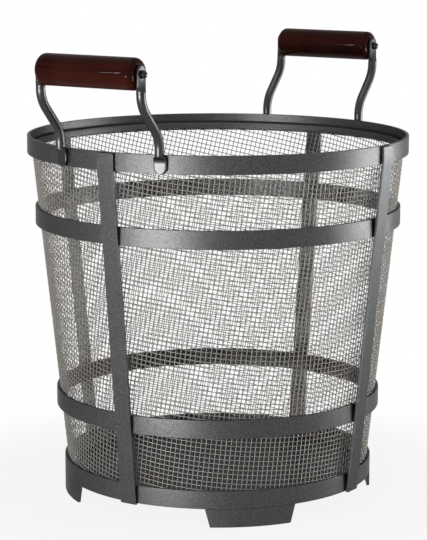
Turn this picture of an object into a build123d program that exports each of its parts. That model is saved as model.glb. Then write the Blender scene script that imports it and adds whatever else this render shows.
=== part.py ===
from build123d import *
from math import asin, ceil, cos, pi, radians, sin, sqrt, tan
import os

# A round, tapered log basket: four rolled flat-bar hoops, four upright straps outside them, a wire
# mesh inside them, four curved feet, and a turned wooden grip on two S-bent arms at the front and at
# the back.
# Lengths are in millimetres and angles in degrees. The origin is on the floor under the middle, +Z is
# up, and both grips lie along X: the front one on the -Y side, the back one on the +Y side.

os.makedirs("parts", exist_ok=True)

# Basket
top_radius = 203.2  # outside of the top hoop
bottom_radius = 166.5  # outside of the bottom hoop
rim_height = 387.0  # floor to the top edge of the top hoop
upper_hoop_height = 292.6  # floor to the lower edge of the upper hoop
lower_hoop_height = 95.3  # floor to the lower edge of the lower hoop
foot_height = 19.4  # floor to the lower edge of the bottom hoop
hoop_width = 19.0  # flat bar of the hoops, on edge
hoop_thickness = 3.2
weld_gap = 0.05  # left between pieces that are welded or pressed together

# Straps
strap_width = 19.0
strap_thickness = 3.2
strap_top_drop = 1.0  # from the rim down to the strap's top end
strap_bottom_drop = 1.0  # from the bottom hoop down to the strap's lower end

# Feet
foot_length = 95.6  # along the hoop, where the foot meets it
foot_end_slant = 15.0  # each end leans in by this angle towards the floor

# Mesh: a coarser lattice than the woven wire, with the same weight of steel in each square metre
mesh_thickness = 1.8  # over two crossing wires
wire_width = 3.0
mesh_pitch = 38.0
mesh_bottom_rise = 1.6  # from the bottom hoop's lower edge up to the mesh
mesh_seam = 0.1  # between the quarters of the sheet, behind the straps

# Ring inside the top hoop, with the mesh's upper edge between them
ring_height = 6.4
ring_thickness = 4.8
ring_drop = 9.5  # from the rim down to the ring
mesh_top_drop = 0.8  # from the ring's top down to the mesh's edge

# Floor
floor_thickness = 2.0

# Arms
arm_diameter = 9.5
arm_spacing = 120.8  # between the middles of a pair of arms
arm_reach = 31.0  # from the pad's rod out to the eye's rod
arm_slant = 42.0  # of the slanted run, from upright
arm_bend_radius = 30.0
arm_bend_height = 33.7  # rim to the middle of the slanted run
pad_width = 14.0
pad_length = 12.5
pad_thickness = 3.4
eye_width = 13.0
eye_thickness = 3.4
eye_above = 2.4  # from the rod hole up to the middle of the eye's round top
eye_below = 12.0  # from the rod hole down to the end of the flat
taper_length = 5.0  # from the round rod to each forged flat
pad_drop = 1.0  # from the rim down to where the rod starts to flatten

# Grips
grip_height = 81.1  # rim to the middle of the grip
grip_radius = 16.0
grip_end_radius = 6.0
grip_end_play = 0.4  # at each end, to the eye
grip_rod_radius = 3.2
grip_bore_clearance = 0.08  # the grip turns on its rod
eye_hole_clearance = 0.05
nut_radius = 5.2
nut_height = 6.2
nut_straight = 2.0  # height of the nut's straight side
nut_grip_length = 3.5  # how far the rod reaches past the eye into each nut

# Heights and radii that follow from these sizes
top_hoop_height = rim_height - hoop_width
ring_top = rim_height - ring_drop
ring_bottom = ring_top - ring_height
mesh_top = ring_top - mesh_top_drop
mesh_bottom = foot_height + mesh_bottom_rise
mesh_columns = 4 * ceil(pi * (top_radius + bottom_radius) / 4 / mesh_pitch)  # alike in each quarter
mesh_rows = ceil((mesh_top - mesh_bottom) / mesh_pitch)
taper = (top_radius - bottom_radius) / (top_hoop_height - foot_height)


def hoop_radius(height):
    """Outside radius of a hoop whose lower edge is at this height."""
    return bottom_radius + taper * (height - foot_height)


def mesh_radius(height):
    """Outside radius of the mesh, which touches each hoop inside its top edge."""
    return hoop_radius(height - hoop_width) - hoop_thickness - weld_gap


def lining_radius(height):
    """Outside radius of what lies against the inside of the mesh, clear of its flat sides."""
    return (mesh_radius(height) - mesh_thickness) * cos(pi / mesh_columns) - weld_gap


def radial_plane(angle):
    """Upright plane through the axis: its x points outwards at this angle and its y points up."""
    outward = (cos(radians(angle)), sin(radians(angle)), 0)
    sideways = (sin(radians(angle)), -cos(radians(angle)), 0)
    return Plane(origin=(0, 0, 0), x_dir=outward, z_dir=sideways)


def facing_plane(angle, distance):
    """Upright plane that faces outwards at this angle, at this distance from the axis."""
    outward = Vector(cos(radians(angle)), sin(radians(angle)), 0)
    sideways = (-sin(radians(angle)), cos(radians(angle)), 0)
    return Plane(origin=outward * distance, x_dir=sideways, z_dir=outward)


# Hoops: flat bar, rolled and butt welded, standing on edge
hoop_heights = {
    "top_hoop": top_hoop_height,
    "upper_hoop": upper_hoop_height,
    "lower_hoop": lower_hoop_height,
    "bottom_hoop": foot_height,
}
for hoop_name, height in hoop_heights.items():
    with BuildPart() as hoop:
        with BuildSketch(Plane.XY.offset(height)):
            Circle(hoop_radius(height))
            Circle(hoop_radius(height) - hoop_thickness, mode=Mode.SUBTRACT)
        extrude(amount=hoop_width)
    hoop.part.label = hoop_name
    export_step(hoop.part, f"parts/{hoop_name}.step")

# Straps: flat bar outside the hoops, leaning with the basket and set upright over the top hoop
strap_angles = {"strap_front": -90, "strap_right": 0, "strap_back": 90, "strap_left": 180}
strap_bottom = foot_height - strap_bottom_drop
strap_top = rim_height - strap_top_drop
strap_foot_radius = hoop_radius(strap_bottom) + weld_gap
strap_head_radius = top_radius + weld_gap
for strap_name, angle in strap_angles.items():
    with BuildPart() as strap:
        with BuildSketch(radial_plane(angle)):
            with BuildLine():
                Polyline(
                    (strap_foot_radius, strap_bottom),
                    (strap_head_radius, top_hoop_height),
                    (strap_head_radius, strap_top),
                    (strap_head_radius + strap_thickness, strap_top),
                    (strap_head_radius + strap_thickness, top_hoop_height),
                    (strap_foot_radius + strap_thickness, strap_bottom),
                    close=True,
                )
            make_face()
        extrude(amount=strap_width / 2, both=True)
    strap.part.label = strap_name
    export_step(strap.part, f"parts/{strap_name}.step")

# Feet: curved plates under the bottom hoop, midway between the straps
foot_angles = {
    "foot_front_right": -45,
    "foot_back_right": 45,
    "foot_back_left": 135,
    "foot_front_left": -135,
}
foot_top = foot_height - weld_gap
foot_half_width = bottom_radius * sin(foot_length / 2 / bottom_radius)
for foot_name, angle in foot_angles.items():
    with BuildPart() as foot:
        with BuildSketch():
            Circle(bottom_radius)
            Circle(bottom_radius - hoop_thickness, mode=Mode.SUBTRACT)
        extrude(amount=foot_top)
        with BuildSketch(facing_plane(angle, 0)):
            with BuildLine():
                foot_inset = foot_top * tan(radians(foot_end_slant))
                Polyline(
                    (-foot_half_width + foot_inset, 0),
                    (foot_half_width - foot_inset, 0),
                    (foot_half_width, foot_top),
                    (-foot_half_width, foot_top),
                    close=True,
                )
            make_face()
        extrude(amount=2 * bottom_radius, mode=Mode.INTERSECT)
    foot.part.label = foot_name
    export_step(foot.part, f"parts/{foot_name}.step")

# Ring: square bar inside the mesh at the top, leaning with it
with BuildPart() as inner_ring:
    with BuildSketch(Plane.XZ):
        with BuildLine():
            Polyline(
                (lining_radius(ring_bottom), ring_bottom),
                (lining_radius(ring_top), ring_top),
                (lining_radius(ring_top) - ring_thickness, ring_top),
                (lining_radius(ring_bottom) - ring_thickness, ring_bottom),
                close=True,
            )
        make_face()
    revolve(axis=Axis.Z)
inner_ring.part.label = "inner_ring"
export_step(inner_ring.part, "parts/inner_ring.step")

# Mesh: a sheet rolled to a many-sided cone inside the hoops, in four quarters that meet behind the
# straps, with an upright wire at each corner and even rows of openings between them
row_pitch = (mesh_top - mesh_bottom - wire_width) / mesh_rows
column_angle = 360 / mesh_columns


def opening_half_width(height):
    """Half the width of an opening between two upright wires, at this height."""
    return mesh_radius(height) * sin(radians(column_angle / 2)) - wire_width / 2


with BuildPart() as mesh_quarter:
    for inward, mode in ((0, Mode.ADD), (mesh_thickness, Mode.SUBTRACT)):
        for height in (mesh_bottom, mesh_top):
            with BuildSketch(Plane.XY.offset(height)):
                RegularPolygon(mesh_radius(height) - inward, mesh_columns)
        loft(ruled=True, mode=mode)
    with BuildSketch():
        with Locations((mesh_seam / 2, mesh_seam / 2)):
            Rectangle(top_radius, top_radius, align=Align.MIN)
    extrude(amount=rim_height, mode=Mode.INTERSECT)
    for row in range(mesh_rows):
        low = mesh_bottom + wire_width + row * row_pitch
        high = low + row_pitch - wire_width
        start_radius = lining_radius(low) - 1
        opening_planes = [
            facing_plane((column + 0.5) * column_angle, start_radius)
            for column in range(mesh_columns // 4)
        ]
        with BuildSketch(*opening_planes):
            with BuildLine():
                Polyline(
                    (-opening_half_width(low), low),
                    (opening_half_width(low), low),
                    (opening_half_width(high), high),
                    (-opening_half_width(high), high),
                    close=True,
                )
            make_face()
        extrude(amount=mesh_radius(high) + 1 - start_radius, mode=Mode.SUBTRACT)

quarter_turns = {
    "wire_mesh_back_right": 0,
    "wire_mesh_back_left": 90,
    "wire_mesh_front_left": 180,
    "wire_mesh_front_right": 270,
}
for quarter_name, turn in quarter_turns.items():
    turned_quarter = mesh_quarter.part.rotate(Axis.Z, turn)
    turned_quarter.label = quarter_name
    export_step(turned_quarter, f"parts/{quarter_name}.step")

# Floor: a round plate, welded inside the mesh's lower edge and the bottom hoop
with BuildPart() as floor_plate:
    with BuildSketch(Plane.XY.offset(mesh_bottom)):
        Circle(lining_radius(mesh_bottom))
    extrude(amount=floor_thickness)
floor_plate.part.label = "floor_plate"
export_step(floor_plate.part, "parts/floor_plate.step")

# Arms: round rod, bent outwards and up again, and forged flat to a pad and an eye
arm_radius = arm_diameter / 2
arm_x = arm_spacing / 2
pad_back = top_radius + weld_gap  # the pad's back lies on the top hoop
arm_foot_distance = pad_back + arm_radius
pad_angle = asin(arm_x / arm_foot_distance)
arm_foot_y = arm_foot_distance * cos(pad_angle)
eye_y = arm_foot_y + arm_reach
rod_foot = rim_height - pad_drop
grip_z = rim_height + grip_height
rod_head = grip_z - eye_below - taper_length
bend_middle = rim_height + arm_bend_height
bend_half_height = arm_reach / 2 / tan(radians(arm_slant))
pad_top = rod_foot - taper_length
pad_round_height = pad_top - pad_length + pad_width / 2
pad_outward = Vector(sin(pad_angle), -cos(pad_angle), 0)
pad_sideways = Vector(cos(pad_angle), sin(pad_angle), 0)

with BuildPart() as front_right_arm:
    side_plane = Plane(origin=(arm_x, 0, 0), x_dir=(0, -1, 0), z_dir=(-1, 0, 0))
    with BuildLine(side_plane) as arm_path:
        FilletPolyline(
            (arm_foot_y, rod_foot),
            (arm_foot_y, bend_middle - bend_half_height),
            (eye_y, bend_middle + bend_half_height),
            (eye_y, rod_head),
            radius=arm_bend_radius,
        )
    with BuildSketch(Plane(origin=(arm_x, -arm_foot_y, rod_foot))):
        Circle(arm_radius)
    sweep(path=arm_path.wires()[0])
    # The lower end flattens towards the hoop
    with BuildSketch(Plane(origin=(arm_x, -arm_foot_y, rod_foot))):
        Circle(arm_radius)
    pad_middle = pad_outward * (pad_back + pad_thickness / 2)
    pad_section = Plane(origin=pad_middle + Vector(0, 0, pad_top), x_dir=pad_sideways, z_dir=(0, 0, 1))
    with BuildSketch(pad_section):
        Rectangle(pad_width, pad_thickness)
    loft()
    with BuildSketch(Plane(origin=pad_outward * pad_back, x_dir=pad_sideways, z_dir=pad_outward)):
        with Locations((0, pad_top)):
            Rectangle(pad_width, pad_top - pad_round_height, align=(Align.CENTER, Align.MAX))
        with Locations((0, pad_round_height)):
            Circle(pad_width / 2)
    extrude(amount=pad_thickness)
    # The upper end flattens to an eye that faces the grip's end
    with BuildSketch(Plane(origin=(arm_x, -eye_y, rod_head))):
        Circle(arm_radius)
    with BuildSketch(Plane(origin=(arm_x, -eye_y, rod_head + taper_length))):
        Rectangle(eye_thickness, eye_width)
    loft()
    with BuildSketch(side_plane):
        with Locations((eye_y, grip_z - eye_below)):
            Rectangle(eye_width, eye_below + eye_above, align=(Align.CENTER, Align.MIN))
        with Locations((eye_y, grip_z + eye_above)):
            Circle(eye_width / 2)
    extrude(amount=eye_thickness / 2, both=True)
    with BuildSketch(side_plane):
        with Locations((eye_y, grip_z)):
            Circle(grip_rod_radius + eye_hole_clearance)
    extrude(amount=eye_thickness, both=True, mode=Mode.SUBTRACT)
front_right_arm.part.label = "front_right_arm"
export_step(front_right_arm.part, "parts/front_right_arm.step")

with BuildPart() as front_left_arm:
    mirror(front_right_arm.part, about=Plane.YZ)
front_left_arm.part.label = "front_left_arm"
export_step(front_left_arm.part, "parts/front_left_arm.step")

# Rod: it passes through both eyes and the grip
eye_outside = arm_x + eye_thickness / 2
grip_half_length = arm_x - eye_thickness / 2 - grip_end_play
rod_half_length = eye_outside + nut_grip_length
with BuildPart() as front_grip_rod:
    with BuildSketch(Plane(origin=(0, -eye_y, grip_z), x_dir=(0, 1, 0), z_dir=(1, 0, 0))):
        Circle(grip_rod_radius)
    extrude(amount=rod_half_length, both=True)
front_grip_rod.part.label = "front_grip_rod"
export_step(front_grip_rod.part, "parts/front_grip_rod.step")

# Grip: turned wood with rounded ends, bored for its rod
grip_plane = Plane(origin=(0, -eye_y, grip_z), x_dir=(1, 0, 0), z_dir=(0, -1, 0))
grip_axis = Axis((0, -eye_y, grip_z), (1, 0, 0))
grip_bore_radius = grip_rod_radius + grip_bore_clearance
with BuildPart() as front_grip:
    with BuildSketch(grip_plane) as grip_profile:
        with Locations((0, grip_bore_radius)):
            Rectangle(
                2 * grip_half_length,
                grip_radius - grip_bore_radius,
                align=(Align.CENTER, Align.MIN),
            )
        fillet(grip_profile.vertices().group_by(Axis.Y)[-1], grip_end_radius)
    revolve(axis=grip_axis)
front_grip.part.label = "front_grip"
export_step(front_grip.part, "parts/front_grip.step")

# Cap nuts: round domes that close the rod's two ends
nut_bore_radius = grip_rod_radius + weld_gap
nut_seat = eye_outside + weld_gap
nut_bore_end = rod_half_length + weld_gap
with BuildPart() as front_cap_nuts:
    with BuildSketch(grip_plane):
        with BuildLine():
            Polyline(
                (nut_bore_end, 0),
                (nut_bore_end, nut_bore_radius),
                (nut_seat, nut_bore_radius),
                (nut_seat, nut_radius),
                (nut_seat + nut_straight, nut_radius),
            )
            EllipticalCenterArc(
                (nut_seat + nut_straight, 0),
                nut_height - nut_straight,
                nut_radius,
                start_angle=0,
                arc_size=90,
            )
            Line((nut_seat + nut_height, 0), (nut_bore_end, 0))
        make_face()
    revolve(axis=grip_axis)
    mirror(about=Plane.YZ)
front_cap_nuts.part.label = "front_cap_nuts"
export_step(front_cap_nuts.part, "parts/front_cap_nuts.step")

# The back handle is the front one, mirrored through the basket's middle plane
back_pieces = {
    "back_right_arm": front_right_arm,
    "back_left_arm": front_left_arm,
    "back_grip_rod": front_grip_rod,
    "back_grip": front_grip,
    "back_cap_nuts": front_cap_nuts,
}
for back_name, front_piece in back_pieces.items():
    with BuildPart() as back_piece:
        mirror(front_piece.part, about=Plane.XZ)
    back_piece.part.label = back_name
    export_step(back_piece.part, f"parts/{back_name}.step")
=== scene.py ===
import math

import bpy
from mathutils import Matrix, Vector


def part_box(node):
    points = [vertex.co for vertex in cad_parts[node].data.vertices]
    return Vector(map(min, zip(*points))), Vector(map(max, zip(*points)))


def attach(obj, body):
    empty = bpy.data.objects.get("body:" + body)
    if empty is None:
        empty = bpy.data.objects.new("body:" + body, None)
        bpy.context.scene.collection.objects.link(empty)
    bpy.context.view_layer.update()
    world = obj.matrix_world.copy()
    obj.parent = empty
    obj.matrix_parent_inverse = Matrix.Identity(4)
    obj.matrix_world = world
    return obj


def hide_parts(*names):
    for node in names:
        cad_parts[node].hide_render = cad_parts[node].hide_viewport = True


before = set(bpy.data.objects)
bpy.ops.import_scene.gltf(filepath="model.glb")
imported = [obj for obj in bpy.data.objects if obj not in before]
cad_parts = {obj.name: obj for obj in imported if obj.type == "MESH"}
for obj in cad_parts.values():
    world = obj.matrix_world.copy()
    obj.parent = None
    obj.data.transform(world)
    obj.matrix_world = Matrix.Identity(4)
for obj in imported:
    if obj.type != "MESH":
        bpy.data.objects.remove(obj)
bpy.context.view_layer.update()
scene = bpy.context.scene
scene.view_settings.view_transform = "Standard"
print("frame loaded")


# helpers for modelling

seamGap = 0.000004
wholeTurn = 2 * math.pi


def startFresh():
    bpy.ops.object.select_all(action="DESELECT")


def pick(piece):
    startFresh()
    piece.select_set(True)
    bpy.context.view_layer.objects.active = piece


def editMode():
    bpy.ops.object.mode_set(mode="EDIT")
    bpy.ops.mesh.select_all(action="SELECT")


def objectMode():
    bpy.ops.object.mode_set(mode="OBJECT")


def closeUp(piece, fill=False):
    # joins a shell's seam, fills its open ends if asked and turns its faces outwards
    pick(piece)
    editMode()
    bpy.ops.mesh.remove_doubles(threshold=seamGap)
    if fill:
        bpy.ops.mesh.fill_holes(sides=0)
        bpy.ops.mesh.select_all(action="SELECT")
    bpy.ops.mesh.normals_make_consistent(inside=False)
    objectMode()


def softenEdges(piece, width, segments=2, limit=40):
    pick(piece)
    bevel = piece.modifiers.new("softEdges", "BEVEL")
    bevel.width = width
    bevel.segments = segments
    bevel.limit_method = "ANGLE"
    bevel.angle_limit = math.radians(limit)
    bpy.ops.object.modifier_apply(modifier=bevel.name)


def combine(piece, tool, operation):
    # cuts the tool out of the piece or joins it to the piece, and the tool is used up
    pick(piece)
    step = piece.modifiers.new("combine", "BOOLEAN")
    step.operation = operation
    step.object = tool
    bpy.ops.object.modifier_apply(modifier=step.name)
    bpy.data.objects.remove(tool)


def turnProfile(name, profile, steps, centre=(0, 0, 0), axis=(0, 0, 1), closed=True, angle=wholeTurn):
    # a profile drawn point by point, spun about an axis
    mesh = bpy.data.meshes.new(name)
    edges = [(k, k + 1) for k in range(len(profile) - 1)]
    if closed:
        edges.append((len(profile) - 1, 0))
    mesh.from_pydata(profile, edges, [])
    piece = bpy.data.objects.new(name, mesh)
    scene.collection.objects.link(piece)
    pick(piece)
    editMode()
    bpy.ops.mesh.spin(steps=steps, angle=angle, center=centre, axis=axis)
    objectMode()
    closeUp(piece, fill=angle < wholeTurn)
    return piece


def ownCopy(piece, name):
    copy = piece.copy()
    copy.data = piece.data.copy()
    copy.name = copy.data.name = name
    scene.collection.objects.link(copy)
    return copy


def turnedCopy(piece, name, degrees):
    copy = ownCopy(piece, name)
    copy.data.transform(Matrix.Rotation(math.radians(degrees), 4, "Z"))
    return copy


def mirroredCopy(piece, name, across):
    copy = ownCopy(piece, name)
    sides = [-1 if side in across else 1 for side in "xy"]
    copy.data.transform(Matrix.Diagonal((*sides, 1, 1)))
    closeUp(copy)
    return copy


def dress(piece, material, nodes=(), body="basket", smooth=35, flat=False):
    pick(piece)
    if smooth:
        bpy.ops.object.shade_smooth_by_angle(angle=math.radians(smooth))
    if flat:  # flats stay flat between their softened edges
        even = piece.modifiers.new("evenNormals", "WEIGHTED_NORMAL")
        even.keep_sharp = True
        bpy.ops.object.modifier_apply(modifier=even.name)
    piece.data.materials.clear()
    piece.data.materials.append(material)
    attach(piece, body)
    if nodes:
        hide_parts(*nodes)


# helpers for materials

class Socket:
    # a node's output that can be used in plain arithmetic
    def __init__(self, finish, link):
        self.finish = finish
        self.link = link

    def maths(self, operation, first, second):
        return self.finish.add("ShaderNodeMath", {"operation": operation}, {0: first, 1: second})

    def __add__(self, other):
        return self.maths("ADD", self, other)

    def __radd__(self, other):
        return self.maths("ADD", other, self)

    def __mul__(self, other):
        return self.maths("MULTIPLY", self, other)

    def __rmul__(self, other):
        return self.maths("MULTIPLY", other, self)


class Finish:
    # one material or world and its nodes
    def __init__(self, name, owner=None):
        self.material = owner or bpy.data.materials.new(name)
        self.material.use_nodes = True
        self.tree = self.material.node_tree
        self.tree.nodes.clear()

    def add(self, kind, settings=None, inputs=None, output=0):
        node = self.tree.nodes.new(kind)
        for key, value in (settings or {}).items():
            if key == "stops":
                self.setStops(node.color_ramp, value)
            else:
                setattr(node, key, value)
        for key, value in (inputs or {}).items():
            if isinstance(value, Socket):
                self.tree.links.new(value.link, node.inputs[key])
            elif isinstance(value, tuple) and len(value) == 3 and node.inputs[key].type == "RGBA":
                node.inputs[key].default_value = (*value, 1)
            else:
                node.inputs[key].default_value = value
        return Socket(self, node.outputs[output]) if node.outputs else node

    def setStops(self, ramp, stops):
        # a stop is a place and a colour, or a place and a plain level
        while len(ramp.elements) < len(stops):
            ramp.elements.new(0.5)
        for element, (place, colour) in zip(ramp.elements, stops):
            element.position = place
            element.color = (*colour, 1) if isinstance(colour, tuple) else (colour, colour, colour, 1)

    def place(self, scale=(1, 1, 1)):
        where = self.add("ShaderNodeTexCoord", output="Object")
        return self.add("ShaderNodeMapping", {}, {"Vector": where, "Scale": scale})

    def noise(self, where, scale, detail, rough, distortion=0.0):
        return self.add("ShaderNodeTexNoise", {}, {"Vector": where, "Scale": scale, "Detail": detail,
                                                    "Roughness": rough, "Distortion": distortion})

    def ramp(self, factor, stops):
        return self.add("ShaderNodeValToRGB", {"stops": stops}, {"Fac": factor})

    def mixColour(self, factor, first, second):
        # a Mix node's colours are its inputs 6 and 7 and its output 2
        return self.add("ShaderNodeMix", {"data_type": "RGBA"}, {0: factor, 6: first, 7: second}, output=2)

    def bump(self, height, strength, distance):
        return self.add("ShaderNodeBump", {}, {"Height": height, "Strength": strength,
                                               "Distance": distance})

    def seenStraight(self):
        # 1 where the camera, a gloss or a clear piece looks, and 0 for the light that falls on the object
        camera, glossy, clear = [self.add("ShaderNodeLightPath", output=ray) for ray in
                                 ("Is Camera Ray", "Is Glossy Ray", "Is Transmission Ray")]
        either = self.add("ShaderNodeMath", {"operation": "MAXIMUM"}, {0: camera, 1: glossy})
        return self.add("ShaderNodeMath", {"operation": "MAXIMUM"}, {0: either, 1: clear})

    def finish(self, **inputs):
        names = {"colour": "Base Color", "metal": "Metallic", "rough": "Roughness", "normal": "Normal",
                 "coat": "Coat Weight", "coatRough": "Coat Roughness", "specular": "Specular IOR Level",
                 "tint": "Specular Tint"}
        named = {names[key]: value for key, value in inputs.items()}
        shader = self.add("ShaderNodeBsdfPrincipled", {}, named)
        self.add("ShaderNodeOutputMaterial", {}, {"Surface": shader})
        return self.material


# camera, at the photograph's place

view = {"azimuth": 32.9, "elevation": 10.1078, "roll": 0.074, "distance": 2.2899, "aside": -0.004611,
        "height": 0.23807, "lens": 141.377, "sensor": 36, "nearest": 0.05, "farthest": 60}


def makeCamera():
    azimuth, elevation = math.radians(view["azimuth"]), math.radians(view["elevation"])
    aim = Vector((view["aside"] * math.cos(azimuth), view["aside"] * math.sin(azimuth), view["height"]))
    back = Vector((math.sin(azimuth) * math.cos(elevation), -math.cos(azimuth) * math.cos(elevation),
                   math.sin(elevation)))
    data = bpy.data.cameras.new("camera")
    data.lens = view["lens"]
    data.sensor_width = view["sensor"]
    data.clip_start, data.clip_end = view["nearest"], view["farthest"]
    camera = bpy.data.objects.new("camera", data)
    scene.collection.objects.link(camera)
    roll = Matrix.Rotation(math.radians(view["roll"]), 4, "Z")
    turn = (-back).to_track_quat("-Z", "Y").to_matrix().to_4x4() @ roll
    camera.matrix_world = Matrix.Translation(aim + back * view["distance"]) @ turn
    scene.camera = camera


makeCamera()
print("camera placed")


# lamps: each softbox stands at an azimuth, a distance and a height, and aims at a height of the basket

softboxes = {"keyBox": {"azimuth": -2, "distance": 1.9, "height": 0.062, "aim": 0.12, "size": (1.05, 0.1),
                        "power": 36},
             "sideBox": {"azimuth": 136, "distance": 1.9, "height": 0.132, "aim": 0.12, "size": (1.4, 0.24),
                         "power": 38},
             "topBox": {"azimuth": 20, "distance": 0.25, "height": 1.9, "aim": 0.22, "size": (1.2, 1.2),
                        "power": 7}}
spark = {"place": (-1.16, -1.93, 0.64), "radius": 0.02, "power": 4.5}  # a small lamp, for sharp glints


def makeLamps():
    for name, box in softboxes.items():
        data = bpy.data.lights.new(name, "AREA")
        data.shape = "RECTANGLE"
        data.size, data.size_y = box["size"]
        data.energy = box["power"]
        lamp = bpy.data.objects.new(name, data)
        scene.collection.objects.link(lamp)
        angle, distance = math.radians(box["azimuth"]), box["distance"]
        place = Vector((distance * math.sin(angle), -distance * math.cos(angle), box["height"]))
        towards = Vector((0, 0, box["aim"])) - place
        turn = towards.to_track_quat("-Z", "Y").to_matrix().to_4x4()
        lamp.matrix_world = Matrix.Translation(place) @ turn
        lamp.visible_camera = False
    data = bpy.data.lights.new("sparkLamp", "POINT")
    data.energy = spark["power"]
    data.shadow_soft_size = spark["radius"]
    lamp = bpy.data.objects.new("sparkLamp", data)
    lamp.location = spark["place"]
    lamp.visible_camera = False
    scene.collection.objects.link(lamp)


makeLamps()


# white surroundings, and a floor that keeps the shadow and fades to white

studio = {"world": 0.14, "white": (1.0, 1.0, 1.0), "floorRadius": 30, "floorSides": 96,
          "floorGrey": (0.88, 0.88, 0.88), "floorGlow": 0.88, "fadeStart": 0.24, "fadeEnd": 0.44}


def makeSurroundings():
    world = bpy.data.worlds.new("studio")
    scene.world = world
    sky = Finish("studio", world)
    seen = sky.seenStraight()
    dim = sky.add("ShaderNodeBackground", {}, {"Color": studio["white"], "Strength": studio["world"]})
    white = sky.add("ShaderNodeBackground", {}, {"Color": studio["white"], "Strength": 1.0})
    mixed = sky.add("ShaderNodeMixShader", {}, {0: seen, 1: dim, 2: white})
    sky.add("ShaderNodeOutputWorld", {}, {"Surface": mixed})


def makeFloor():
    startFresh()
    bpy.ops.mesh.primitive_circle_add(vertices=studio["floorSides"], radius=studio["floorRadius"],
                                      fill_type="NGON", location=(0, 0, 0))
    floor = bpy.context.object
    floor.name = floor.data.name = "studioFloor"
    pale = Finish("paleFloor")
    where = pale.add("ShaderNodeTexCoord", output="Object")
    away = pale.add("ShaderNodeVectorMath", {"operation": "LENGTH"}, {0: where}, output="Value")
    fade = pale.add("ShaderNodeMapRange", {"interpolation_type": "SMOOTHSTEP"},
                    {"Value": away, "From Min": studio["fadeStart"], "From Max": studio["fadeEnd"],
                     "To Min": studio["floorGlow"], "To Max": 1.0})
    matt = pale.add("ShaderNodeBsdfDiffuse", {}, {"Color": studio["floorGrey"]})
    glow = pale.add("ShaderNodeEmission", {}, {"Color": studio["white"], "Strength": 1.0})
    mixed = pale.add("ShaderNodeMixShader", {}, {0: fade * pale.seenStraight(), 1: matt, 2: glow})
    pale.add("ShaderNodeOutputMaterial", {}, {"Surface": mixed})
    floor.data.materials.append(pale.material)


makeSurroundings()
makeFloor()
print("studio ready")


# finishes: a noise is a scale, detail, roughness and distortion, and a bump is a strength and a distance

coatLook = {"grain": (820, 3.0, 0.6), "cloud": (16, 4.0, 0.55), "pebbles": [(0.34, 0.0), (0.66, 1.0)],
            "dark": (0.0291, 0.0297, 0.0302), "light": (0.0403, 0.0409, 0.0414),
            "pebble": (0.0829, 0.084, 0.0851), "metal": 0.85, "rough": 0.35, "rougher": 0.08,
            "specular": 0.4, "tint": (0.4, 0.4, 0.4), "bump": (0.5, 0.00025)}


def frameBarFinish():
    # gunmetal powder coat with a fine pebbled grain, a little lighter in patches
    look = coatLook
    coat = Finish("gunmetalCoat")
    where = coat.place()
    grain = coat.noise(where, *look["grain"])
    cloud = coat.noise(where, *look["cloud"])
    tone = coat.mixColour(cloud, look["dark"], look["light"])
    colour = coat.mixColour(coat.ramp(grain, look["pebbles"]), tone, look["pebble"])
    return coat.finish(colour=colour, metal=look["metal"], rough=look["rough"] + grain * look["rougher"],
                       specular=look["specular"], tint=look["tint"],
                       normal=coat.bump(grain, *look["bump"]))


rodLook = {"stretch": (1, 1, 0.12), "drawn": (420, 3.0, 0.5), "cloud": (34, 4.0, 0.6),
           "dark": (0.022, 0.0225, 0.023), "light": (0.068, 0.069, 0.07), "metal": 0.9, "rough": 0.24,
           "rougher": 0.12, "specular": 0.4, "tint": (0.5, 0.5, 0.5), "even": 0.5, "bump": (0.2, 0.0003)}


def armRodFinish():
    # drawn and forged rod under a thinner, glossier coat
    look = rodLook
    coat = Finish("rodCoat")
    drawn = coat.noise(coat.place(look["stretch"]), *look["drawn"])
    cloud = coat.noise(coat.place(), *look["cloud"])
    colour = coat.mixColour(cloud, look["dark"], look["light"])
    relief = drawn * look["even"] + cloud * look["even"]
    return coat.finish(colour=colour, metal=look["metal"], rough=look["rough"] + cloud * look["rougher"],
                       specular=look["specular"], tint=look["tint"],
                       normal=coat.bump(relief, *look["bump"]))


wireLook = {"fine": (700, 2.0, 0.5), "dark": (0.15, 0.147, 0.14), "light": (0.27, 0.263, 0.248),
            "patch": (22, 4.0, 0.6), "browned": [(0.45, 0.0), (0.7, 1.0)], "brown": (0.17, 0.125, 0.085),
            "brownShare": 0.4, "metal": 0.6, "rough": 0.38, "rougher": 0.2, "bump": (0.15, 0.0001)}


def meshWireFinish():
    # dull woven steel wire, browned here and there
    look = wireLook
    wire = Finish("wovenWire")
    where = wire.place()
    fine = wire.noise(where, *look["fine"])
    browned = wire.ramp(wire.noise(where, *look["patch"]), look["browned"])
    grey = wire.mixColour(fine, look["dark"], look["light"])
    colour = wire.mixColour(browned * look["brownShare"], grey, look["brown"])
    return wire.finish(colour=colour, metal=look["metal"], rough=look["rough"] + fine * look["rougher"],
                       normal=wire.bump(fine, *look["bump"]))


woodLook = {"poreStretch": (9, 420, 420), "pores": (1.0, 4.0, 0.6, 0.4), "bandStretch": (3, 60, 60),
            "bands": (1.0, 3.0, 0.5, 1.2), "figureStretch": (22, 9, 9), "figure": (1.0, 2.0, 0.5),
            "tones": [(0.3, (0.005, 0.0006, 0.0006)), (0.52, (0.013, 0.0011, 0.0009)),
                      (0.74, (0.034, 0.0044, 0.002))],
            "warm": (0.04, 0.009, 0.003), "warmed": [(0.45, 0.0), (0.8, 0.55)],
            "pore": (0.005, 0.001, 0.0006), "pored": [(0.3, 1.0), (0.44, 0.0)], "poreShare": 0.7,
            "rough": 0.34, "rougher": 0.12, "specular": 0.02, "tint": (1.0, 0.4, 0.3), "coat": 0.07,
            "coatRough": 0.06, "bump": (0.06, 0.0001)}


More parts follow.
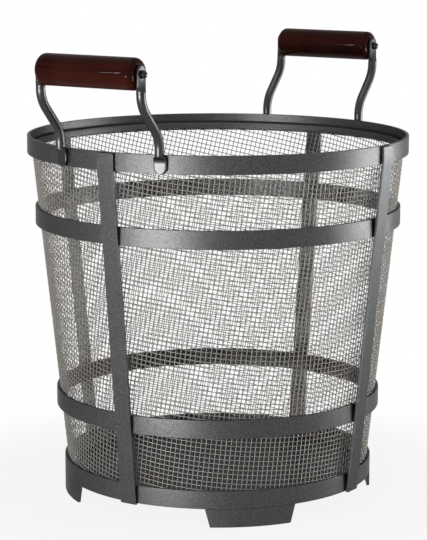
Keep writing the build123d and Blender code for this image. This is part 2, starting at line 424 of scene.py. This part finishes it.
def gripWoodFinish():
    # mahogany stain with long dark pores along the grip, under gloss lacquer
    look = woodLook
    wood = Finish("mahoganyLacquer")
    pores = wood.noise(wood.place(look["poreStretch"]), *look["pores"])
    bands = wood.noise(wood.place(look["bandStretch"]), *look["bands"])
    figure = wood.noise(wood.place(look["figureStretch"]), *look["figure"])
    warm = wood.mixColour(wood.ramp(figure, look["warmed"]), wood.ramp(bands, look["tones"]), look["warm"])
    colour = wood.mixColour(wood.ramp(pores, look["pored"]) * look["poreShare"], warm, look["pore"])
    return wood.finish(colour=colour, rough=look["rough"] + pores * look["rougher"],
                       specular=look["specular"], tint=look["tint"], coat=look["coat"],
                       coatRough=look["coatRough"], normal=wood.bump(pores, *look["bump"]))


enamelLook = {"haze": (380, 3.0, 0.6), "dark": (0.004, 0.004, 0.005), "light": (0.01, 0.01, 0.011),
              "rough": 0.16, "rougher": 0.12, "specular": 0.1, "coat": 0.2, "coatRough": 0.08,
              "bump": (0.05, 0.0001)}


def capNutFinish():
    # black gloss enamel
    look = enamelLook
    enamel = Finish("blackEnamel")
    haze = enamel.noise(enamel.place(), *look["haze"])
    colour = enamel.mixColour(haze, look["dark"], look["light"])
    return enamel.finish(colour=colour, rough=look["rough"] + haze * look["rougher"],
                         specular=look["specular"], coat=look["coat"], coatRough=look["coatRough"],
                         normal=enamel.bump(haze, *look["bump"]))


steelLook = {"stretch": (900, 60, 60), "turning": (1.0, 2.0, 0.5), "dark": (0.32, 0.32, 0.32),
             "light": (0.46, 0.46, 0.45), "metal": 1.0, "rough": 0.24, "rougher": 0.16,
             "bump": (0.1, 0.0001)}


def gripRodFinish():
    # plain steel rod with fine turning marks
    look = steelLook
    steel = Finish("rodSteel")
    turning = steel.noise(steel.place(look["stretch"]), *look["turning"])
    colour = steel.mixColour(turning, look["dark"], look["light"])
    return steel.finish(colour=colour, metal=look["metal"], rough=look["rough"] + turning * look["rougher"],
                        normal=steel.bump(turning, *look["bump"]))


gunmetalCoat = frameBarFinish()
rodCoat = armRodFinish()
wovenWire = meshWireFinish()
mahogany = gripWoodFinish()
blackEnamel = capNutFinish()
rodSteel = gripRodFinish()
print("finishes mixed")


# hoops and the ring inside the top one

basketTaper = 0.10528  # how far the sides lean out over a metre of height
hoops = {"thickness": 0.0032, "edge": 0.00045, "segments": 192,
         "nodes": {"topHoop": "top_hoop", "upperHoop": "upper_hoop", "lowerHoop": "lower_hoop",
                   "bottomHoop": "bottom_hoop"}}


def makeHoops():
    for name, node in hoops["nodes"].items():
        low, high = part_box(node)
        outer, inner = high.x, high.x - hoops["thickness"]
        section = [(outer, 0, low.z), (outer, 0, high.z), (inner, 0, high.z), (inner, 0, low.z)]
        hoop = turnProfile(name, section, hoops["segments"])
        softenEdges(hoop, hoops["edge"])
        dress(hoop, gunmetalCoat, [node], flat=True)


makeHoops()

ring = {"thickness": 0.0048, "edge": 0.0006, "segments": 192}
bead = {"radius": 0.0017, "stretch": (1, 1.5, 0.5), "segments": 16, "rings": 10, "turns": (0, 90, 180, 270)}


def makeBeads(centre):
    # weld beads at the straps
    beads = []
    for turn in bead["turns"]:
        startFresh()
        bpy.ops.mesh.primitive_uv_sphere_add(segments=bead["segments"], ring_count=bead["rings"],
                                             radius=bead["radius"], location=centre)
        piece = bpy.context.object
        bpy.ops.transform.resize(value=bead["stretch"])
        bpy.ops.object.transform_apply(location=True, rotation=True, scale=True)
        piece.data.transform(Matrix.Rotation(math.radians(turn), 4, "Z"))
        beads.append(piece)
    return beads


def makeRing():
    low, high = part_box("inner_ring")
    outer, thickness = high.x, ring["thickness"]
    lean = basketTaper * (high.z - low.z)
    section = [(outer - lean, 0, low.z), (outer, 0, high.z), (outer - thickness, 0, high.z),
               (outer - lean - thickness, 0, low.z)]
    band = turnProfile("innerRing", section, ring["segments"])
    softenEdges(band, ring["edge"])
    beads = makeBeads((outer - thickness / 2, 0, high.z))
    pick(band)
    for piece in beads:
        piece.select_set(True)
    bpy.ops.object.join()
    dress(band, gunmetalCoat, ["inner_ring"], flat=True)


makeRing()
print("hoops and ring made")


# straps, modelled at the right-hand side and turned round the basket

straps = {"width": 0.019, "thickness": 0.0032, "edge": 0.0004,
          "turns": {"strapRight": ("strap_right", 0), "strapBack": ("strap_back", 90),
                    "strapLeft": ("strap_left", 180), "strapFront": ("strap_front", 270)}}


def makeStraps():
    low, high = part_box("strap_right")
    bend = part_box("top_hoop")[0].z
    thickness, width = straps["thickness"], straps["width"]
    startFresh()
    bpy.ops.mesh.primitive_plane_add(size=1, location=(0, 0, 0))
    strap = bpy.context.object
    bpy.ops.transform.resize(value=(thickness, width, 1))
    strap.location = (low.x + thickness / 2, 0, low.z)
    bpy.ops.object.transform_apply(location=True, rotation=True, scale=True)
    editMode()
    lean = high.x - thickness - low.x
    bpy.ops.mesh.extrude_region_move(TRANSFORM_OT_translate={"value": (lean, 0, bend - low.z)})
    bpy.ops.mesh.extrude_region_move(TRANSFORM_OT_translate={"value": (0, 0, high.z - bend)})
    objectMode()
    closeUp(strap)
    softenEdges(strap, straps["edge"])
    for name, (node, turn) in straps["turns"].items():
        dress(turnedCopy(strap, name, turn), gunmetalCoat, [node], flat=True)
    bpy.data.objects.remove(strap)


makeStraps()
print("straps made")


# feet, bent plates with slanted ends

feet = {"length": 0.0956, "slant": 15, "thickness": 0.0032, "edge": 0.0004, "steps": 20,
        "turns": {"footFrontRight": ("foot_front_right", -45), "footBackRight": ("foot_back_right", 45),
                  "footBackLeft": ("foot_back_left", 135), "footFrontLeft": ("foot_front_left", -135)}}


def makeFeet():
    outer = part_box("bottom_hoop")[1].x
    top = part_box("foot_front_right")[1].z
    inner = outer - feet["thickness"]
    halfLength = feet["length"] / 2
    half = math.asin(halfLength / outer)
    start = Matrix.Rotation(half, 4, "Z")  # the spin goes clockwise from here
    corners = ((outer, 0, 0), (outer, 0, top), (inner, 0, top), (inner, 0, 0))
    section = [start @ Vector(corner) for corner in corners]
    foot = turnProfile("foot", section, feet["steps"], angle=2 * half)
    for vertex in foot.data.vertices:  # the ends lean in towards the floor
        inset = (top - vertex.co.z) * math.tan(math.radians(feet["slant"]))
        radius = math.hypot(vertex.co.x, vertex.co.y)
        angle = math.atan2(vertex.co.y, vertex.co.x) * math.asin((halfLength - inset) / outer) / half
        vertex.co = (radius * math.cos(angle), radius * math.sin(angle), vertex.co.z)
    softenEdges(foot, feet["edge"])
    for name, (node, turn) in feet["turns"].items():
        dress(turnedCopy(foot, name, turn), gunmetalCoat, [node], flat=True)
    bpy.data.objects.remove(foot)


makeFeet()
print("feet made")


# floor plate

floorPlate = {"edge": 0.0003, "segments": 160}


def makeFloorPlate():
    low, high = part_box("floor_plate")
    profile = [(0, 0, low.z), (high.x, 0, low.z), (high.x, 0, high.z), (0, 0, high.z)]
    plate = turnProfile("floorPlate", profile, floorPlate["segments"], closed=False)
    softenEdges(plate, floorPlate["edge"])
    dress(plate, gunmetalCoat, ["floor_plate"], flat=True)


makeFloorPlate()
print("floor plate made")


# woven mesh: a flat plain weave rolled onto the basket's cone, its middle behind the right-hand strap

weave = {"pitch": 0.0051, "wire": 0.0009, "middle": 0.0, "halfThickness": 0.0009, "halvings": 12,
         "sheets": {"wovenBackRight": "wire_mesh_back_right", "wovenBackLeft": "wire_mesh_back_left",
                    "wovenFrontLeft": "wire_mesh_front_left", "wovenFrontRight": "wire_mesh_front_right"}}


def makeWeave():
    low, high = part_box("wire_mesh_back_right")
    cosine = 1 / math.hypot(1, basketTaper)
    sine = basketTaper / math.hypot(1, basketTaper)
    apex = high.z - (high.x - weave["halfThickness"]) / basketTaper
    nearest, farthest = (low.z - apex) / cosine, (high.z - apex) / cosine
    widest = math.pi * sine
    pitch, wire = weave["pitch"], weave["wire"]

    def turnOf(across, along):
        return weave["middle"] + math.atan2(across, along) / sine

    def onCone(across, along, lift):
        distance = math.hypot(across, along)
        turn = turnOf(across, along)
        radius = distance * sine + lift * cosine
        return (radius * math.cos(turn), radius * math.sin(turn), apex + distance * cosine - lift * sine)

    def within(across, along):
        near = nearest <= math.hypot(across, along) <= farthest
        return near and abs(math.atan2(across, along)) <= widest

    def quarterOf(across, along):
        return int(turnOf(across, along) % wholeTurn / (math.pi / 2)) % 4

    curves = []
    for name in weave["sheets"]:
        curve = bpy.data.curves.new(name, "CURVE")
        curve.dimensions = "3D"
        curve.bevel_depth = wire / 2
        curve.bevel_resolution = 1
        curve.use_fill_caps = True
        curves.append(curve)

    def addRun(quarter, points):
        if len(points) < 2:
            return
        spline = curves[quarter].splines.new("POLY")
        spline.points.add(len(points) - 1)
        for place, point in zip(spline.points, points):
            place.co = (*point, 1)
        spline.use_smooth = True

    def edgeSpot(inner, outer):
        # where a stretch of wire leaves the sheet, found by halving
        near, far = 0.0, 1.0
        for _ in range(weave["halvings"]):
            middle = (near + far) / 2
            spot = [a + (b - a) * middle for a, b in zip(inner, outer)]
            near, far = (middle, far) if within(*spot[:2]) else (near, middle)
        return [a + (b - a) * near for a, b in zip(inner, outer)]

    def follow(crossings):
        # crossings along one wire, as across, along and lift, cut at the sheet's edges and at each quarter
        run, quarter = [], None
        for first, second in zip(crossings, crossings[1:]):
            firstIn, secondIn = within(*first[:2]), within(*second[:2])
            if not firstIn and not secondIn:
                continue
            if not secondIn:
                second = edgeSpot(first, second)
            elif not firstIn:
                first = edgeSpot(second, first)
            where = quarterOf((first[0] + second[0]) / 2, (first[1] + second[1]) / 2)
            if where != quarter or not run or not firstIn:
                addRun(quarter, run)
                run, quarter = [onCone(*first)], where
            run.append(onCone(*second))
            if not secondIn:
                addRun(quarter, run)
                run, quarter = [], None
        addRun(quarter, run)

    acrossCount = math.ceil(farthest * math.sin(widest) / pitch) + 1
    acrossAll = range(-acrossCount, acrossCount + 1)
    alongAll = range(math.floor(nearest * math.cos(widest) / pitch) - 1, math.ceil(farthest / pitch) + 2)
    for across in acrossAll:
        follow([(across * pitch, along * pitch, wire / 2 if (across + along) % 2 else -wire / 2)
                for along in alongAll])
    for along in alongAll:
        follow([(across * pitch, along * pitch, -wire / 2 if (across + along) % 2 else wire / 2)
                for across in acrossAll])
    for curve, (name, node) in zip(curves, weave["sheets"].items()):
        sheet = bpy.data.objects.new(name, curve)
        scene.collection.objects.link(sheet)
        pick(sheet)
        bpy.ops.object.convert(target="MESH")
        sheet = bpy.context.object
        sheet.name = sheet.data.name = name
        dress(sheet, wovenWire, [node], smooth=None)
        print(name, len(sheet.data.polygons), "faces")


makeWeave()
print("mesh woven")


# arms, forged from round rod: a pad at the foot, two bends and an eye at the head

arm = {"radius": 0.00475, "spacing": 0.1208, "reach": 0.031, "slant": 42, "bend": 0.03,
       "bendHeight": 0.0337, "bendSteps": 12, "footRise": 0.0015, "gap": 0.00005,
       "padWidth": 0.014, "padLength": 0.0146, "padThickness": 0.0034, "padDrop": 0.001, "padEven": 0.0045,
       "shoulder": 0.0036, "neck": 0.005,
       "eyeWidth": 0.013, "eyeThickness": 0.0034, "eyeAbove": 0.0024, "eyeBelow": 0.012,
       "gripHeight": 0.0811, "hole": 0.00325, "holeSides": 40, "drillLength": 0.02,
       "sides": 32, "smooth": 32}

# how the rod is forged out, where a squareness of 2 is round
# toe and crown: degrees round the pad's and the eye's end, and squareness
# shoulder: share of its height, width from rod to pad, thickness from pad to rod, and squareness
# neck: share of its height, blend from rod to eye, and squareness
forging = {"toe": ((7, 2.6), (20, 3.2), (34, 3.7), (48, 4.0), (62, 4.3), (76, 4.4), (90, 4.4)),
           "padSquare": 4.4,
           "shoulder": ((-0.60, 1.00, 0.02, 4.4), (-0.25, 1.00, 0.08, 4.3), (0.0, 0.99, 0.19, 4.1),
                        (0.15, 0.96, 0.29, 3.9), (0.35, 0.85, 0.46, 3.6), (0.55, 0.65, 0.65, 3.2),
                        (0.75, 0.40, 0.83, 2.7), (0.90, 0.16, 0.94, 2.3)),
           "neck": ((0.3, 0.10, 2.2), (0.55, 0.36, 2.8), (0.75, 0.68, 3.6), (0.9, 0.92, 5.0),
                    (1.0, 1.0, 6.5)),
           "crown": ((0, 6.5), (16, 6.5), (32, 6.0), (48, 5.5), (62, 5.0), (74, 4.0), (84, 3.0))}

alongGrip = (0, math.pi / 2, 0)  # lays a cylinder along the grip
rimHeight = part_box("top_hoop")[1].z
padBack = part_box("top_hoop")[1].x + arm["gap"]
armFoot = padBack + arm["radius"]
armX = arm["spacing"] / 2
padAngle = math.asin(armX / armFoot)
footOut = armFoot * math.cos(padAngle)
eyeOut = footOut + arm["reach"]
gripZ = rimHeight + arm["gripHeight"]
armOutside = armX + arm["eyeThickness"] / 2


def armStations():
    # a station is a centre, its sideways and outward directions, half sizes along both, and squareness
    radius = arm["radius"]
    stations = []

    def padAt(height, halfWidth, halfThickness, square):
        outward = Vector((math.sin(padAngle), -math.cos(padAngle), 0))
        sideways = Vector((math.cos(padAngle), math.sin(padAngle), 0))
        centre = outward * (padBack + halfThickness) + Vector((0, 0, height))
        stations.append((centre, sideways, outward, halfWidth, halfThickness, square))

    def rodAt(out, height, tilt=0, halfX=radius, halfOut=radius, square=2.0):
        outward = Vector((0, -math.cos(tilt), -math.sin(tilt)))
        stations.append((Vector((armX, -out, height)), Vector((1, 0, 0)), outward, halfX, halfOut, square))

    rodFoot = rimHeight - arm["padDrop"]
    padTop = rodFoot - arm["shoulder"]
    half, thin = arm["padWidth"] / 2, arm["padThickness"] / 2
    toeHeight = padTop - arm["padLength"] + half
    for degrees, square in forging["toe"]:
        angle = math.radians(degrees)
        padAt(toeHeight - half * math.cos(angle), half * math.sin(angle), thin, square)
    padAt(padTop - arm["padEven"], half, thin, forging["padSquare"])
    for share, wide, thick, square in forging["shoulder"]:
        halfWidth, halfThickness = radius + wide * (half - radius), thin + thick * (radius - thin)
        padAt(padTop + share * arm["shoulder"], halfWidth, halfThickness, square)

    bend, slant = arm["bend"], math.radians(arm["slant"])
    tilts = [slant * step / arm["bendSteps"] for step in range(arm["bendSteps"] + 1)]
    rise = arm["reach"] / 2 / math.tan(slant)
    cut = bend * math.tan(slant / 2)
    lowerStart = rimHeight + arm["bendHeight"] - rise - cut
    upperEnd = rimHeight + arm["bendHeight"] + rise + cut
    rodAt(footOut, rodFoot)
    rodAt(footOut, rodFoot + arm["footRise"])
    for tilt in tilts:
        rodAt(footOut + bend * (1 - math.cos(tilt)), lowerStart + bend * math.sin(tilt), tilt)
    for tilt in reversed(tilts):
        rodAt(eyeOut - bend * (1 - math.cos(tilt)), upperEnd - bend * math.sin(tilt), tilt)

    rodHead = gripZ - arm["eyeBelow"] - arm["neck"]
    rodAt(eyeOut, rodHead)
    eyeThin, eyeHalf = arm["eyeThickness"] / 2, arm["eyeWidth"] / 2
    for share, blend, square in forging["neck"]:
        halfX, halfOut = radius + blend * (eyeThin - radius), radius + blend * (eyeHalf - radius)
        rodAt(eyeOut, rodHead + share * arm["neck"], 0, halfX, halfOut, square)
    eyeMiddle = gripZ + arm["eyeAbove"]
    for degrees, square in forging["crown"]:
        angle = math.radians(degrees)
        rodAt(eyeOut, eyeMiddle + eyeHalf * math.sin(angle), 0, eyeThin, eyeHalf * math.cos(angle), square)
    return stations


def makeArms():
    stations = armStations()
    rows, sides = len(stations) - 1, arm["sides"]
    startFresh()
    bpy.ops.mesh.primitive_grid_add(x_subdivisions=sides, y_subdivisions=rows, size=1, location=(0, 0, 0))
    piece = bpy.context.object
    for vertex in piece.data.vertices:  # the grid is wrapped round the rod's sections
        column, row = round((vertex.co.x + 0.5) * sides), round((vertex.co.y + 0.5) * rows)
        centre, sideways, outward, halfSide, halfOut, square = stations[row]
        angle = wholeTurn * (column % sides + 0.5) / sides
        along = math.copysign(abs(math.cos(angle)) ** (2 / square), math.cos(angle))
        over = math.copysign(abs(math.sin(angle)) ** (2 / square), math.sin(angle))
        vertex.co = centre + sideways * halfSide * along + outward * halfOut * over
    closeUp(piece, fill=True)
    bpy.ops.mesh.primitive_cylinder_add(vertices=arm["holeSides"], radius=arm["hole"],
                                        depth=arm["drillLength"], location=(armX, -eyeOut, gripZ),
                                        rotation=alongGrip)
    combine(piece, bpy.context.object, "DIFFERENCE")
    piece.name = piece.data.name = "frontRightArm"
    copies = {"frontLeftArm": ("front_left_arm", "x"), "backRightArm": ("back_right_arm", "y"),
              "backLeftArm": ("back_left_arm", "xy")}
    for name, (node, across) in copies.items():
        dress(mirroredCopy(piece, name, across), rodCoat, [node], smooth=arm["smooth"])
    dress(piece, rodCoat, ["front_right_arm"], smooth=arm["smooth"])


makeArms()
print("arms forged")


# what is turned about the grip's middle: the grip, the nut and the rod

def turnOnGrip(name, outline, steps, closed=False):
    # an outline is places along the grip and distances from its middle
    profile = [(along, -eyeOut, gripZ + distance) for along, distance in outline]
    return turnProfile(name, profile, steps, (0, -eyeOut, gripZ), (1, 0, 0), closed)


grip = {"radius": 0.016, "end": 0.006, "endSteps": 9, "body": 0.004, "play": 0.0004, "bore": 0.00328,
        "boreEdge": 0.0004, "steps": 72, "smooth": 30}


def makeGrips():
    half = armX - arm["eyeThickness"] / 2 - grip["play"]
    radius, end, bore, edge = grip["radius"], grip["end"], grip["bore"], grip["boreEdge"]
    outline = [(half - edge, bore), (half, bore + edge), (half, radius - end)]
    for step in range(1, grip["endSteps"]):
        angle = math.pi / 2 * step / grip["endSteps"]
        outline.append((half - end + end * math.cos(angle), radius - end + end * math.sin(angle)))
    outline += [(half - end, radius), (half - end - grip["body"], radius), (half / 3, radius)]
    outline += [(-along, distance) for along, distance in reversed(outline)]
    handle = turnOnGrip("frontGripWood", outline, grip["steps"], closed=True)
    back = mirroredCopy(handle, "backGripWood", "y")
    dress(back, mahogany, ["back_grip"], "back_grip", grip["smooth"])
    dress(handle, mahogany, ["front_grip"], "front_grip", grip["smooth"])


makeGrips()

nut = {"hex": 0.0045, "hexHeight": 0.0022, "chamfer": 0.0003, "radius": 0.0038, "height": 0.0048,
       "domeSteps": 12, "bore": 0.00305, "boreDepth": 0.0035, "gap": 0.00005, "overlap": 0.0001,
       "drillLength": 0.01, "steps": 48, "smooth": 30}
nutSeat = armOutside + nut["gap"]


def makeNuts():
    # a hexagon with a dome on it, at the right-hand end of each grip
    radius, hexHeight, bore = nut["radius"], nut["hexHeight"], nut["bore"]
    boreEnd = nutSeat + nut["boreDepth"]
    outline = [(boreEnd, 0), (boreEnd, bore), (nutSeat, bore), (nutSeat, radius),
               (nutSeat + hexHeight, radius)]
    for step in range(1, nut["domeSteps"]):
        angle = math.pi / 2 * step / nut["domeSteps"]
        outline.append((nutSeat + hexHeight + (nut["height"] - hexHeight) * math.sin(angle),
                        radius * math.cos(angle)))
    outline.append((nutSeat + nut["height"], 0))
    domed = turnOnGrip("frontCapNut", outline, nut["steps"])
    startFresh()
    bpy.ops.mesh.primitive_cylinder_add(vertices=6, radius=nut["hex"], depth=hexHeight,
                                        location=(nutSeat + hexHeight / 2, -eyeOut, gripZ),
                                        rotation=alongGrip)
    flats = bpy.context.object
    bpy.ops.object.transform_apply(location=True, rotation=True, scale=True)
    softenEdges(flats, nut["chamfer"])
    bpy.ops.mesh.primitive_cylinder_add(vertices=nut["steps"], radius=radius - nut["overlap"],
                                        depth=nut["drillLength"], location=(nutSeat, -eyeOut, gripZ),
                                        rotation=alongGrip)
    combine(flats, bpy.context.object, "DIFFERENCE")
    combine(domed, flats, "UNION")
    back = mirroredCopy(domed, "backCapNut", "y")
    dress(back, blackEnamel, ["back_cap_nuts"], smooth=nut["smooth"], flat=True)
    dress(domed, blackEnamel, ["front_cap_nuts"], smooth=nut["smooth"], flat=True)


makeNuts()

gripRod = {"edge": 0.0003, "head": 0.0048, "headHeight": 0.0015, "headEdge": 0.0005, "headSteps": 9,
           "steps": 48, "smooth": 30}


def makeRods():
    # a rod through each grip, with a low round head at the left-hand end
    low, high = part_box("front_grip_rod")
    shaft, head, edge = (high.z - low.z) / 2, gripRod["head"], gripRod["edge"]
    outline = [(high.x, 0), (high.x, shaft - edge), (high.x - edge, shaft), (-nutSeat, shaft),
               (-nutSeat, head)]
    crown = gripRod["headHeight"] - gripRod["headEdge"]
    for step in range(gripRod["headSteps"]):
        angle = math.pi / 2 * step / gripRod["headSteps"]
        outline.append((-nutSeat - gripRod["headEdge"] - crown * math.sin(angle), head * math.cos(angle)))
    outline.append((-nutSeat - gripRod["headHeight"], 0))
    front = turnOnGrip("frontGripRod", outline, gripRod["steps"])
    back = mirroredCopy(front, "backGripRod", "y")
    dress(back, rodSteel, ["back_grip_rod"], smooth=gripRod["smooth"])
    dress(front, rodSteel, ["front_grip_rod"], smooth=gripRod["smooth"])


makeRods()
print("grips, nuts and rods made")
